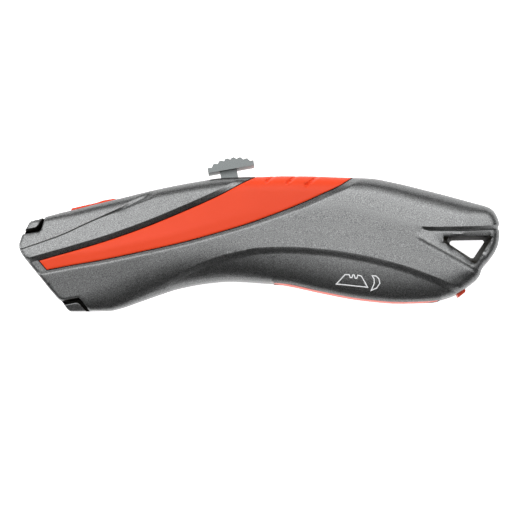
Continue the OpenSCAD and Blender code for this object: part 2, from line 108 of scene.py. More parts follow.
# Edges of the inlay and lines of the casting, each as height over length. A span says over which
# lengths the triangles follow such a line.
INLAY_TOP = [
    (-86.5, -11.6), (-80.2, -9.8), (-57.5, -3.25), (-43, 1.75), (-28.6, 7.55), (-14.1, 14),
    (-7, 17.8), (-2.6, 20.1), (-1, 21), (1, 22.2),
]
INLAY_BOTTOM = [
    (-86, -15.2), (-76.8, -13.5), (-68, -11.85), (-57.5, -10.05), (-43, -7.05), (-28.5, -3.85),
    (-14.1, 0.05), (-3.3, 3.3), (7.6, 7.3), (14.8, 10.2), (22.1, 13.5), (29.4, 17), (32, 18.7),
    (34.2, 20.2), (37, 21.85),
]
TOP_SPAN, BOTTOM_SPAN = (-86.4, -0.4), (-84.5, 36.5)
INLAY_END = [(-80.2, -9.8), (-77, -13.55)]
INLAY_GAP = 0.36
INLAY_PROUD = 0.12
SEAT_DEPTH = 1.5
# Slopes of the casting beside the inlay's upper and lower edge, each with its rounding.
WALL_WIDTH, WALL_SOFT = 1.75, 0.12
BEVEL_WIDTH = [(-87, 1.1), (-20, 1.2), (0, 1.3), (15, 1.8), (25, 2), (40, 2.2)]
BEVEL_SOFT = 0.4
# Thumb rest: where the inlay covers the spine, how thick it is there, and its grooves.
THUMB_FROM, THUMB_TO = -1.2, 33.2
THUMB_SKIN = 1.4
THUMB_STEPS = 70
THUMB_GROOVES = [((6.5, 21.6), (2.8, 18.6)), ((14.5, 21.6), (10.1, 18.1)), ((22.5, 21.6), (17, 17.3))]
# Crease on the nose, and the groove along the belly, below which the side leans in further.
CREASE = [
    (-86.8, -6), (-71.1, -0.4), (-64, 2.9), (-57.5, 5.8), (-51.1, 8.4), (-46.2, 10.7),
    (-39.6, 13.9), (-35, 16.5),
]
GROOVE = [
    (-46, -22.4), (-43.2, -21.1), (-34.5, -18.3), (-25.5, -14.05), (-16.7, -10.4), (-7.9, -8),
    (0.7, -6.5), (9.6, -6.25), (22.7, -7.05), (37.6, -9.3), (52.3, -13), (59.8, -15.65),
    (67.3, -18.7), (71, -20.3), (76, -22.4),
]
GROOVE_HALF = 1.1
GROOVE_DEPTH = 0.85
GROOVE_LEAN = 0.08
# Tail: both edges of the channel above the lanyard loop, and the cut that bounds the loop below.
TAIL_TOP = [(57.9, 2.3), (61.3, 2.1), (71.7, 2.2), (80.7, 2.5), (86.5, 3), (88, 3.1)]
TAIL_LOW = [(57.9, 2.2), (60, 1.2), (62.2, 0.75), (71.7, 0.75), (80.8, 1.1), (86.8, 1.5), (88, 1.6)]
TAIL_CUT = [(56, -2.7), (58.4, -4), (78.6, -15.1), (81.4, -16.6)]
CHANNEL_DEPTH = 0.3
STEP_WIDTH = 0.25
# How far the loop's face lies under the side, by its distance from that cut.
LOOP_SINK = [(0, 0), (0.75, 0.165), (1.85, -0.143), (10.85, 1.567)]
# Lanyard hole: its wide mouth with a chamfered lip, and its throat near the parting plane.
HOLE_MOUTH = [(65.6, -2.6), (66.6, -1.3), (83.6, -0.9), (84.5, -1.7), (78.6, -11), (77.2, -10.8)]
HOLE_THROAT = [(69.3, -3.3), (70.1, -2), (81.8, -1.8), (82.3, -2.5), (78.2, -8.6), (77.3, -8.5)]
THROAT_Z = 1.0
MOUTH_LIP = 0.45

# Notches in the left casting's nose, and the lugs of the right casting that stand in them.
UPPER_NOTCH = [(-90, -0.9), (-84.2, 0), (-79.9, 0.6), (-79, 1.5), (-77.8, 5.6), (-77.4, 12), (-90, 12)]
LOWER_NOTCH = [
    (-74, -24.8), (-70.2, -24.1), (-65.4, -23.2), (-64.1, -24.6), (-61.4, -28.2), (-61, -32),
    (-74, -32),
]
UPPER_TAB = [(-90, 0.6), (-84.3, 1.4), (-81.1, 2), (-80, 3), (-78.8, 5.6), (-78.4, 12), (-90, 12)]
LOWER_TAB = [
    (-74, -26.4), (-70, -25.7), (-66.2, -25), (-65.1, -25.5), (-62.7, -28.3), (-62.6, -32),
    (-74, -32),
]
NOTCHES, TABS = (UPPER_NOTCH, LOWER_NOTCH), (UPPER_TAB, LOWER_TAB)
NOTCH_POCKET = 8.0
NOTCH_SOFT = 0.4

# Printed blade outlines, anticlockwise.
BLADE_SIGN = [
    (28, -18.4), (39.3, -19.6), (37, -15.6), (35.7, -15.3), (35.4, -16.4), (34.8, -16.4),
    (34.4, -15.2), (33.9, -15.2), (33.6, -16.2), (33, -16.2), (32.6, -15.1), (31.1, -15.1),
]
HOOK_SIGN = [
    (40.9, -15.5), (41.6, -16.7), (41.7, -18.2), (40.6, -20.7), (42.6, -19.9), (43.7, -18.2),
    (43.3, -16.5), (42.3, -15.6),
]
SIGN_LINE = 0.36
SIGN_PROUD, SIGN_SUNK = 0.05, -0.1

# The slide: u runs rearwards along the cutting edge, v from the edge towards the spine.
SLIDE_ZERO, SLIDE_TILT = (-71.5, -20.7), math.radians(10)
MAGAZINE_HINGE, MAGAZINE_REACH = (7.5, -13.5), 62.0
LATCH_ZERO, LATCH_TURN = (73.4, -20.4), math.radians(31.5)
# Screws of the far side: their place, and how far their seats lie from the parting plane.
SCREWS = [(-57, -21.2, 3.6), (-3, -10, 7), (57, 7.5, 9)]
SCREW_SEAT_R = 3.3

left_low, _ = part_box("left_shell")
ORIGIN = (left_low.x / MM - NOSE_X, left_low.y / MM - LOWEST_Y, left_low.z / MM)


def to_row(points, side=1):
    """Drawing points with z from the parting plane, on the left (1) or right (-1) side, in metres."""
    p = np.asarray(points, float)
    return (p * (1, 1, side) + ORIGIN) * MM


# ---------------------------------------------------------------- curves and regions
def curve(points, x):
    """Height of the smooth curve through the points at x, without overshoot."""
    p = np.asarray(points, float)
    xs, ys = p[:, 0], p[:, 1]
    rise = np.diff(ys) / np.diff(xs)
    slope = np.concatenate([rise[:1], np.zeros(len(xs) - 2), rise[-1:]])
    a, b = rise[:-1], rise[1:]
    same = a * b > 0
    slope[1:-1][same] = 2 * a[same] * b[same] / (a[same] + b[same])
    x = np.clip(np.asarray(x, float), xs[0], xs[-1])
    i = np.clip(np.searchsorted(xs, x, side="right") - 1, 0, len(xs) - 2)
    w = xs[i + 1] - xs[i]
    t = (x - xs[i]) / w
    s = 1 - t
    ends = ys[i] * s * s * (1 + 2 * t) + ys[i + 1] * t * t * (3 - 2 * t)
    return ends + w * t * s * (slope[i] * s - slope[i + 1] * t)


def line(points, x):
    """Value at x on straight lines between the points."""
    p = np.asarray(points, float)
    return np.interp(x, p[:, 0], p[:, 1])


def tilt(points, x):
    """Slope of the smooth curve at x."""
    return (curve(points, x + 0.1) - curve(points, x - 0.1)) / 0.2


def beside(points, x, y):
    """Signed distance from the curve, positive above it."""
    return (y - curve(points, x)) / np.sqrt(1 + tilt(points, x) ** 2)


def smooth(low, high, value):
    """0 below low, 1 above high, and a soft step between them."""
    t = np.clip((value - low) / (high - low), 0, 1)
    return t * t * (3 - 2 * t)


def resample(points, step, closed=False):
    """The same polyline with points about a step apart."""
    p = np.asarray(points, float)
    if closed:
        p = np.vstack([p, p[:1]])
    run = np.concatenate([[0], np.cumsum(np.linalg.norm(np.diff(p, axis=0), axis=1))])
    count = max(2, int(round(run[-1] / step)) + 1)
    at = np.linspace(0, run[-1], count)
    out = np.c_[np.interp(at, run, p[:, 0]), np.interp(at, run, p[:, 1])]
    return out[:-1] if closed else out


def traced(points, x0, x1, offset=0.0, step=0.5):
    """Points along a curve, shifted sideways by offset, which is a number or a function of x."""
    x = np.linspace(x0, x1, max(2, int((x1 - x0) / 0.2)))
    y, s = curve(points, x), tilt(points, x)
    d = (offset(x) if callable(offset) else offset) / np.sqrt(1 + s * s)
    return resample(np.c_[x - s * d, y + d], step)


def rounded(corners, r, steps=5):
    """Closed outline through the corners, each turned by a short arc of about radius r."""
    p = np.asarray(corners, float)
    out = []
    for i in range(len(p)):
        a, b, c = p[i - 1], p[i], p[(i + 1) % len(p)]
        cut = min(r, 0.45 * np.linalg.norm(a - b), 0.45 * np.linalg.norm(c - b))
        start = b + (a - b) / np.linalg.norm(a - b) * cut
        end = b + (c - b) / np.linalg.norm(c - b) * cut
        for t in np.linspace(0, 1, steps):
            out.append((1 - t) ** 2 * start + 2 * t * (1 - t) * b + t * t * end)
    return np.array(out)


def inside(polygon, points):
    """Which points lie in the polygon."""
    p, q = np.asarray(polygon, float), np.asarray(points, float)
    hit = np.zeros(len(q), bool)
    x, y = q[:, 0], q[:, 1]
    for (x0, y0), (x1, y1) in zip(p, np.roll(p, -1, axis=0)):
        if y0 == y1:
            continue
        crosses = (y0 > y) != (y1 > y)
        hit ^= crosses & (x < (x1 - x0) * (y - y0) / (y1 - y0) + x0)
    return hit


def distance(loop, points, closed=True):
    """Distance from each point to the polyline, and the nearest segment's number."""
    a = np.asarray(loop, float)
    b = np.roll(a, -1, axis=0) if closed else a[1:]
    a = a if closed else a[:-1]
    ab = b - a
    length = np.maximum((ab ** 2).sum(1), 1e-12)
    best = np.empty(len(points))
    which = np.empty(len(points), int)
    for k in range(0, len(points), 2000):
        q = points[k:k + 2000, None, :]
        t = np.clip(((q - a) * ab).sum(2) / length, 0, 1)
        gap = np.linalg.norm(q - (a + t[..., None] * ab), axis=2)
        which[k:k + 2000] = gap.argmin(1)
        best[k:k + 2000] = gap.min(1)
    return best, which


def slide_point(u, v):
    """Point of the drawing from the slide's own directions."""
    c, s = math.cos(SLIDE_TILT), math.sin(SLIDE_TILT)
    return (SLIDE_ZERO[0] + u * c - v * s, SLIDE_ZERO[1] + u * s + v * c)


def slide_box(u0, v0, u1, v1):
    """Box in the slide's own directions."""
    return [slide_point(u0, v0), slide_point(u1, v0), slide_point(u1, v1), slide_point(u0, v1)]


def circle(centre, r, count=40):
    a = np.linspace(0, 2 * math.pi, count, endpoint=False)
    return np.c_[centre[0] + r * np.cos(a), centre[1] + r * np.sin(a)]


def body_outline(step=0.6):
    """Closed outline of the body, with each point's shoulder width and drop."""
    x = np.linspace(NOSE_X, TAIL_X, 6000)
    top = np.c_[x, curve(SPINE, x), line(SPINE_ROUND, x), line(SPINE_DROP, x)]
    low = np.c_[x, curve(BELLY, x), line(BELLY_ROUND, x), line(BELLY_DROP, x)][::-1]
    loop = np.vstack([top, low])
    closed = np.vstack([loop, loop[:1]])
    run = np.concatenate([[0], np.cumsum(np.linalg.norm(np.diff(closed[:, :2], axis=0), axis=1))])
    at = np.linspace(0, run[-1], int(run[-1] / step), endpoint=False)
    out = np.column_stack([np.interp(at, run, closed[:, k]) for k in range(4)])
    # The channel above the lanyard loop leaves a small nick in the tail.
    nick = 0.45 * np.exp(-((out[:, 1] - 2.1) / 0.7) ** 2)
    out[:, 0] -= np.where(out[:, 0] > 80, nick, 0)
    return out[:, :2], out[:, 2], out[:, 3]


OUTLINE, ROUND, DROP = body_outline()
IN_BAY = (OUTLINE[:, 1] < -10) & (OUTLINE[:, 0] > BAY_SPAN[0]) & (OUTLINE[:, 0] < BAY_SPAN[1])
FOOT = np.where(IN_BAY, BAY_FOOT, WALL_FOOT)
MOUTH = rounded(HOLE_MOUTH, 1.3)
THROAT = rounded(HOLE_THROAT, 0.8)


# ---------------------------------------------------------------- height of the body's side
def plain_height(x, y):
    """Half thickness of the body before any groove, step or recess."""
    ridge, top = line(RIDGE_Y, x), HALF_THICK + line(RIDGE_RISE, x)
    over = y - ridge
    to_spine = line(SPINE_FALL, x) * over + line(CROWN, x) * over ** 2
    fall = np.where(over > 0, to_spine, -line(BELLY_FALL, x) * over)
    d, near = distance(OUTLINE, np.c_[x, y])
    base, foot, draft = top - fall, FOOT[near], line(DRAFT, x)
    wall = draft * np.maximum(base - DROP[near] - foot, 0)
    t = np.clip((d - wall) / ROUND[near], 0, 1)
    shoulder = base - DROP[near] * (1 - np.sqrt(np.maximum(0, 1 - (1 - t) ** 2)))
    return np.where(d < wall, foot + d / draft, np.maximum(shoulder, foot))


def panel_sink(x, y):
    """How far the inlay's surface lies under the plain height."""
    up, low = beside(INLAY_TOP, x, y), beside(INLAY_BOTTOM, x, y)
    share = np.clip(low / np.maximum(low - up, 0.1), 0, 1)
    at_top = line([(-87, 1.15), (-25, 1.1), (-8, 0.6), (0, 0.35), (40, 0.35)], x)
    at_low = line([(-87, 0.75), (-45, 0.78), (-10, 0.7), (0, 0.75), (15, 0.95), (37, 1)], x)
    # Behind the end of its upper edge, the panel reaches its upper level 12 above the lower edge.
    share = np.where(x > 0, np.clip(low / 12, 0, 1), share)
    return at_low + (at_top - at_low) * share


def crease_width(x):
    """Half width of the crease on the nose."""
    return line([(-87, 0.2), (-58, 0.28), (-52, 0.5), (-46, 1), (-40, 1.6), (-34, 2)], x)


def end_side(x, y):
    """Positive on the inlay's side of its slanted front end."""
    (x0, y0), (x1, y1) = INLAY_END
    return ((x - x0) * (y0 - y1) + (y - y0) * (x1 - x0)) / math.hypot(x1 - x0, y1 - y0)


def cast_lines(x, y):
    """Change of height from the creases, grooves and steps of the casting."""
    q = np.abs(beside(CREASE, x, y)) / crease_width(x)
    depth = line([(-87, 0.2), (-60, 0.28), (-50, 0.35), (-40, 0.6), (-34, 0.6)], x)
    dz = -np.where(x < -36, depth * (1 - smooth(0, 1, q)), 0) * (1 - smooth(-41, -37, x))
    q = beside(GROOVE, x, y)
    down = np.clip((GROOVE_HALF - q) / (2 * GROOVE_HALF), 0, 1) * GROOVE_DEPTH
    lean = np.clip(-GROOVE_HALF - q, 0, 14) * GROOVE_LEAN
    dz -= smooth(-48, -12, x) * down + smooth(-60, -30, x) * lean
    return dz + tail_lines(x, y)


def tail_lines(x, y):
    """Change of height from the channel above the lanyard loop, and from the loop's own face."""
    upper, lower, cut = beside(TAIL_TOP, x, y), beside(TAIL_LOW, x, y), beside(TAIL_CUT, x, y)
    face = line(LOOP_SINK, cut) * smooth(56.3, 59.5, x + 0.25 * np.abs(y + 0.8))
    floor = np.maximum(face, 0.5) + CHANNEL_DEPTH
    wall = np.clip(-upper / np.maximum(lower - upper, 0.05), 0, 1) * floor * smooth(57.9, 60.5, x)
    channel = np.where(upper < 0, wall, 0)
    rise = np.clip(-lower / STEP_WIDTH, 0, 1)
    loop = channel * (1 - rise) + face * rise
    dz = np.where(lower >= 0, channel, np.where(cut <= 0, 0, loop))
    return -np.where(x > 56, dz, 0)


def hole_height(x, y, z):
    """Height z with the lanyard hole: a chamfer round its mouth, and a drafted wall inside."""
    p = np.c_[x, y]
    rim, throat = distance(MOUTH, p)[0], distance(THROAT, p)[0]
    share = rim / np.maximum(rim + throat, 1e-6)
    wall = (z - MOUTH_LIP) * (1 - share) + THROAT_Z * share
    chamfer = np.maximum(MOUTH_LIP - rim, 0)
    return np.where(inside(MOUTH, p), wall, z - chamfer)


def ramp_up(d, width, soft):
    """0 to 1 over the width, with its upper edge rounded."""
    over = np.clip((d - width + soft) / (2 * soft), 0, 1)
    return np.minimum(np.clip(d / width, 0, 1), 1 - soft / width * (1 - over) ** 2)


def notch_edge(x, y):
    """Rounding of the left shell's edge round its nose notches."""
    dz = np.zeros_like(x)
    near = x < -58
    for notch in NOTCHES:
        d = distance(notch, np.c_[x, y][near])[0]
        dz[near] -= NOTCH_SOFT * np.clip(1 - d / NOTCH_SOFT, 0, 1) ** 2
    return dz


def in_seat(x, y):
    """Which points lie in the deep recess under the inlay."""
    ahead = (beside(INLAY_TOP, x, y) < -0.02) & (end_side(x, y) > 0.02)
    return (beside(INLAY_BOTTOM, x, y) > 0.02) & (ahead | (x > -1))


def shell_height(x, y):
    """Outer surface of a shell, with its recess for the inlay."""
    base = plain_height(x, y) + cast_lines(x, y)
    up, low = beside(INLAY_TOP, x, y), beside(INLAY_BOTTOM, x, y)
    sink = panel_sink(x, y)
    wall = ramp_up(up, WALL_WIDTH, WALL_SOFT)
    bevel = ramp_up(-low, line(BEVEL_WIDTH, x), BEVEL_SOFT)
    change = np.where(up >= 0, sink * (1 - wall), np.where(low <= 0, sink * (1 - bevel), sink))
    change = np.where((x > -1) & (low > 0), sink, change)
    seat = np.where(in_seat(x, y), SEAT_DEPTH, 0)
    return np.maximum(hole_height(x, y, base - change - seat), WALL_FOOT)


def inlay_height(x, y):
    """Outer surface of an inlay, with its thumb grooves and softened edge."""
    z = plain_height(x, y) - panel_sink(x, y) + INLAY_PROUD
    for groove in THUMB_GROOVES:
        d = distance(groove, np.c_[x, y], closed=False)[0]
        z -= 0.8 * (1 - smooth(0.1, 0.8, d))
    edges = (beside(INLAY_BOTTOM, x, y), beside(INLAY_TOP, x, y), end_side(x, y))
    edge = np.abs(edges).min(0)
    return z - 0.15 * (1 - smooth(INLAY_GAP, INLAY_GAP + 0.35, edge))


# ---------------------------------------------------------------- hollows inside a shell
def magazine_bay():
    """Outline of the space that the magazine swings in."""
    front = [(4.2, -11.5), (3.9, -2), (5.2, 2.2), (8, 4.6), (66.6, -3.6)]
    angles = np.radians(np.arange(9, -22, -1.5))
    reach = MAGAZINE_REACH + 0.5
    x, y = MAGAZINE_HINGE
    arc = [(x + reach * math.cos(a), y + reach * math.sin(a)) for a in angles]
    return front + arc + [(60, -40), (4.2, -40)]


def latch_box(t0, n0, t1, n1):
    """Box in the latch's own directions, t along its travel and n towards the belly."""
    c, s = math.cos(LATCH_TURN), math.sin(LATCH_TURN)
    x, y = LATCH_ZERO
    return [(x + t * c + n * s, y + t * s - n * c) for t, n in ((t0, n0), (t1, n0), (t1, n1), (t0, n1))]


# Outlines, each with its depth from the parting plane. Hollows between the casting's walls come
# first, ribs and bosses fill them up to their own depth, and spaces for what moves cut into both.
BLADE_SLOT = 0.475
HOLLOWS = [
    ([(-66, -24.8), (-52, -24.4), (-43, -21.6), (-33, -17.8), (-14, -14), (-7, -13.6), (-7, 17),
      (-20, 16), (-40, 12), (-50, 9.6), (-62, 6.4)], 5.6),
    ([(-7, -6), (2.6, -6), (2.6, -1), (5, 5), (60, -2.2), (64.5, 2.6), (64, 12), (48, 16.2),
      (40, 17.4), (11, 18.4), (-7, 17.6)], 9.6),
    ([(2.6, -8), (12, -10), (20, -18), (37, -20.6), (51.5, -21.8), (61, -21.4), (66, -12),
      (60, -3), (8, 4)], 8.4),
]
RIBS = [
    (slide_box(4, -2.6, 73, 2.7), BLADE_SLOT),
    (slide_box(8.2, 22.3, 30.5, 27.8), BLADE_SLOT),
    (circle(SCREWS[0], 3.2), 0.0),
    (circle(SCREWS[2], 4.6), 0.0),
]
# Blade, carrier, its tower, stem of the thumb slider, release button, magazine, its heel round
# the hinge, latch with its spring, and latch tab.
SPACES = [
    (slide_box(-40, -0.5, 74, 19.2), BLADE_SLOT),
    (slide_box(-6, 2.7, 74, 22.3), 5.3),
    (slide_box(31.8, 2.7, 74, 27.3), 5.3),
    (slide_box(34.4, 22.2, 70.8, 45), 2.75),
    (slide_box(7.8, 23.4, 29.1, 45), 4.65),
    (magazine_bay(), 6.0),
    (circle(MAGAZINE_HINGE, 5.4), 6.0),
    (latch_box(-0.6, -6, 6.8, -2), 3.2),
    (latch_box(-2.3, -2.6, 4.1, 6), 3.2),
]


def inner_depth(p):
    """Depth of a shell's inside at each point, from the parting plane."""
    depth = np.zeros(len(p))
    for polygon, z in HOLLOWS:
        depth = np.where(inside(polygon, p), np.maximum(depth, z), depth)
    for polygon, z in RIBS:
        depth = np.where(inside(polygon, p), z, depth)
    for polygon, z in SPACES:
        depth = np.where(inside(polygon, p), np.maximum(depth, z), depth)
    return depth


# ---------------------------------------------------------------- meshes
def triangulate(lines, points, keep):
    """Delaunay triangles that follow every line; keep says which centroids stay.

    A point is left out if a point of a line is nearer to it than the room it needs.
    """
    verts, edges = [], []
    for pts, closed in lines:
        base, n = len(verts), len(pts)
        verts += [tuple(p) for p in pts]
        edges += [(base + i, base + (i + 1) % n) for i in range(n if closed else n - 1)]
    tree = KDTree(len(verts) + len(points))
    for i, v in enumerate(verts):
        tree.insert((v[0], v[1], 0), i)
    tree.balance()
    for x, y, room in points:
        if tree.find((x, y, 0))[2] > room:
            verts.append((x, y))
    out = delaunay_2d_cdt([Vector(v) for v in verts], edges, [], 0, 1e-5)
    v = np.array([tuple(p) for p in out[0]])
    f = np.array([t for t in out[2] if len(t) == 3])
    centre = v[f].mean(1)
    f = f[keep(centre)]
    used = np.unique(f)
    renumber = np.full(len(v), -1)
    renumber[used] = np.arange(len(used))
    v, f = v[used], renumber[f]
    a, b, c = v[f[:, 0]], v[f[:, 1]], v[f[:, 2]]
    area = (b[:, 0] - a[:, 0]) * (c[:, 1] - a[:, 1]) - (b[:, 1] - a[:, 1]) * (c[:, 0] - a[:, 0])
    f[area < 0] = f[area < 0][:, ::-1]
    return v, f[np.abs(area) > 1e-9]


def solid_between(v, f, outer, inner):
    """Closed mesh with outer heights per point on top.

    Below, inner holds one depth per triangle for a stepped inside, or three for a smooth one.
    """
    points = [(x, y, z) for (x, y), z in zip(v, outer)]
    faces = [tuple(t) for t in f]
    below = {}

    def under(i, z):
        key = (i, round(float(z), 4))
        if key not in below:
            below[key] = len(points)
            points.append((v[i][0], v[i][1], key[1]))
        return below[key]

    def depth_at(k, j):
        return inner[k][j % 3] if np.ndim(inner[k]) else inner[k]

    edges = {}
    for k, t in enumerate(f):
        faces.append(tuple(under(i, depth_at(k, j)) for j, i in enumerate(t))[::-1])
        for j in range(3):
            a, b = t[j], t[(j + 1) % 3]
            edges.setdefault(frozenset((a, b)), []).append((a, b, k, j))
    # Walls: round the rim, and where the depth steps between two triangles.
    for (a, b, k, j), *others in edges.values():
        if not others:
            faces.append((b, a, under(a, depth_at(k, j)), under(b, depth_at(k, j + 1))))
            continue
        here, there = inner[k], inner[others[0][2]]
        if not np.ndim(here) and abs(here - there) > 1e-6:
            faces.append((under(a, here), under(a, there), under(b, there), under(b, here)))
    return np.array(points), faces


def new_mesh(name, points, faces, material, body, side=1, sharp=30):
    """A piece from drawing points, on the left or right side."""
    mesh = bpy.data.meshes.new(name)
    rows = to_row(points, side)
    if side < 0:
        faces = [t[::-1] for t in faces]
    mesh.from_pydata([tuple(p) for p in rows], [], [tuple(int(i) for i in t) for t in faces])
    mesh.validate()
    mesh.polygons.foreach_set("use_smooth", [True] * len(mesh.polygons))
    mesh.set_sharp_from_angle(angle=math.radians(sharp))
    mesh.materials.append(material)
    obj = bpy.data.objects.new(name, mesh)
    bpy.context.scene.collection.objects.link(obj)
    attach(obj, body)
    return obj


def inward():
    """Unit vectors into the body at each point of the outline."""
    along = np.roll(OUTLINE, -1, axis=0) - np.roll(OUTLINE, 1, axis=0)
    return np.c_[along[:, 1], -along[:, 0]] / np.linalg.norm(along, axis=1)[:, None]


def wall_width():
    """Width of the drafted wall at each point of the outline."""
    level = plain_height(*(OUTLINE + inward() * 0.8).T)
    ridge = HALF_THICK + line(RIDGE_RISE, OUTLINE[:, 0]) - 0.5
    return line(DRAFT, OUTLINE[:, 0]) * np.maximum(np.minimum(level, ridge - DROP) - FOOT, 0)


def ring_points():
    """Points inside the outline that follow its rounded shoulder, each with the room it needs."""
    start, way, out = wall_width(), inward(), []
    for angle in (14, 26, 38, 50, 62, 76, 90):
        d = start + ROUND * (1 - math.cos(math.radians(angle)))
        p = OUTLINE + way * d[:, None]
        # In a tight bend, a point can lie nearer to another stretch of the outline. It is left out.
        good = np.abs(distance(OUTLINE, p)[0] - d) < 0.06 * d + 0.02
        out += [(x, y, 0.15) for (x, y), ok in zip(p, good) if ok]
    return thin(out)


def thin(points, cell_size=0.3):
    """Drops points that crowd one already kept."""
    kept, taken = [], set()
    for x, y, room in points:
        cell = (int(x // cell_size), int(y // cell_size))
        if cell not in taken:
            taken.add(cell)
            kept.append((x, y, room))
    return kept


def grid_points(step=1.5):
    """Triangular grid over the whole drawing, each point with the room it needs."""
    out = []
    for row, y in enumerate(np.arange(-29, 23, step * 0.866)):
        for x in np.arange(-88 + (row % 2) * step / 2, 89, step):
            out.append((x, y, step * 0.45))
    return out


def fine_grid(low, high, step, room):
    """Square grid between two corners, each point with the room it needs."""
    xs, ys = np.arange(low[0], high[0], step), np.arange(low[1], high[1], step)
    return [(x, y, room) for x in xs for y in ys]


def seat_line(shift):
    """The inlay's slanted front end, shifted towards the inlay."""
    (x0, y0), (x1, y1) = INLAY_END
    n = np.array([y0 - y1, x1 - x0]) / math.hypot(x1 - x0, y1 - y0)
    return resample(np.array([(x0, y0), (x1, y1)]) + n * shift, 0.5)


# A line that triangles follow is a pair of its points and whether it closes.
def followed(points, span, *offsets):
    """Open lines along a curve within a span of lengths, one for each sideways offset."""
    return [(traced(points, *span, offset), False) for offset in offsets]


def casting_lines():
    """Every line of the casting's outer surface that the triangles follow."""
    out = [(OUTLINE, True), (OUTLINE + inward() * (wall_width() + 0.03)[:, None], True)]
    wall_top = (WALL_WIDTH - WALL_SOFT, WALL_WIDTH, WALL_WIDTH + WALL_SOFT)
    out += followed(INLAY_TOP, TOP_SPAN, -0.06, 0.0, 0.6, *wall_top)
    out += followed(INLAY_BOTTOM, BOTTOM_SPAN, 0.06, 0.0, -0.4)
    shares = (-1.0, -0.5, 0.0, 0.5, 1.0)
    bevel_edges = [lambda x, s=s: s * BEVEL_SOFT - line(BEVEL_WIDTH, x) for s in shares]
    out += followed(INLAY_BOTTOM, BOTTOM_SPAN, *bevel_edges)
    out += [(seat_line(s), False) for s in (0.0, 0.06)]
    crease_edges = [lambda x, s=s: s * crease_width(x) for s in shares]
    out += followed(CREASE, (-86.9, -37), *crease_edges)
    out += followed(GROOVE, (-44, 75.5), -1.6, -GROOVE_HALF, -0.5, 0.2, GROOVE_HALF, GROOVE_HALF + 0.15)
    out += followed(TAIL_TOP, (58.2, 87.8), 0.1, 0.0)
    out += followed(TAIL_LOW, (59.2, 87.8), 0.0, -STEP_WIDTH, -0.4)
    out += followed(TAIL_CUT, (57.2, 81), -0.1, 0.0, 0.75, 1.3, 1.85, 2.0)
    out += [(resample(MOUTH, 0.4, True), True), (resample(THROAT, 0.4, True), True)]
    return out


def inner_lines():
    """Outlines of what is inside a shell, cut off a little outside the body."""
    far = 95
    out = []
    for polygon, _ in SPACES + RIBS + HOLLOWS:
        out.append((resample(np.clip(np.array(polygon), -far, far), 1.2, True), True))
    return out


def thumb_band():
    """Strip along the spine where the inlay replaces the casting: lower edge first, then upper."""
    x = np.linspace(THUMB_FROM, THUMB_TO, THUMB_STEPS)
    y = curve(SPINE, x)
    return np.vstack([np.c_[x, y - THUMB_SKIN], np.c_[x, y + 3][::-1]])


def notch_pockets(centre, depth):
    """Depth with the room that the right casting leaves between its lugs and the notches."""
    room = plain_height(centre[:, 0], centre[:, 1]) - 0.8
    deep = np.round(np.minimum(NOTCH_POCKET, room) * 2) / 2
    for notch, tab in zip(NOTCHES, TABS):
        pocket = inside(notch, centre) & ~inside(tab, centre)
        depth = np.where(pocket, np.maximum(depth, np.maximum(deep, 0)), depth)
    return depth


def screw_seats(v, outer, centre, depth):
    """Heights and depth with flat seats, a small step round each, and solid metal under them."""
    for x, y, seat in SCREWS:
        r = np.hypot(v[:, 0] - x, v[:, 1] - y)
        outer = np.where(r < SCREW_SEAT_R - 0.02, seat, outer)
        outer = np.where((r > SCREW_SEAT_R - 0.02) & (r < SCREW_SEAT_R + 0.28), outer - 0.25, outer)
        below = np.hypot(centre[:, 0] - x, centre[:, 1] - y) < SCREW_SEAT_R + 0.6
        depth = np.where(below, np.minimum(depth, seat - 0.8), depth)
    return outer, depth


def make_shell(side, material):
    """One half of the casting. Its inside is stepped, and stays under the outer surface."""
    left = side > 0
    band = thumb_band()
    lines = casting_lines() + inner_lines() + [(resample(band, 0.6, True), True)]
    removed = [THROAT, band]
    if left:
        removed += NOTCHES
        for notch in NOTCHES:
            lines += [(resample(inset(notch, s), 0.4, True), True) for s in (0, -0.15, -NOTCH_SOFT)]
    else:
        lines += [(resample(edge, 0.5, True), True) for edge in NOTCHES + TABS]
        radii = (SCREW_SEAT_R + 0.3, SCREW_SEAT_R, SCREW_SEAT_R - 0.05)
        lines += [(circle((x, y), r), True) for x, y, _ in SCREWS for r in radii]

    def keep(p):
        ok = inside(OUTLINE, p)
        for polygon in removed:
            ok &= ~inside(polygon, p)
        return ok

    v, f = triangulate(lines, ring_points() + grid_points(), keep)
    outer, centre = shell_height(v[:, 0], v[:, 1]), v[f].mean(1)
    depth = inner_depth(centre)
    if left:
        outer = np.maximum(outer + notch_edge(v[:, 0], v[:, 1]), WALL_FOOT)
    else:
        depth = notch_pockets(centre, depth)
        outer, depth = screw_seats(v, outer, centre, depth)
    # The metal is at least 0.35 thick over each triangle, and its inside has steps of 0.1.
    room = np.round((outer[f].min(1) - 0.35) * 10) / 10
    points, faces = solid_between(v, f, outer, np.clip(depth, 0, np.maximum(room, 0)))
    name = "left_casting" if left else "right_casting"
    obj = new_mesh(name, points, faces, material, "housing", side)
    raw_inside_and_painted_shade(obj, points, side)
    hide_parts("left_shell" if left else "right_shell")


def raw_inside_and_painted_shade(obj, points, side):
    """Dark uncoated metal on the faces that don't belong to the outside, and the same dark colour as
    painted shade on the lanyard hole's walls and the inlay's seat.
    """
    obj.data.materials.append(MATERIALS["raw_casting_and_painted_shade"])
    near = 0.02
    on_edge = distance(OUTLINE, points[:, :2])[0] < near
    in_loop = inside(MOUTH, points[:, :2]) & (distance(MOUTH, points[:, :2])[0] > near)
    # The lanyard hole's walls and the inlay's seat face outwards, but get the dark material as painted
    # shade.
    painted_shade_hollows = in_loop | in_seat(points[:, 0], points[:, 1])
    for polygon in obj.data.polygons:
        corners = list(polygon.vertices)
        # The drafted walls are nearly upright, but still face a little outwards.
        outward = polygon.normal.z * side > 0.005 and not painted_shade_hollows[corners].any()
        if not outward and not on_edge[corners].all():
            polygon.material_index = 1


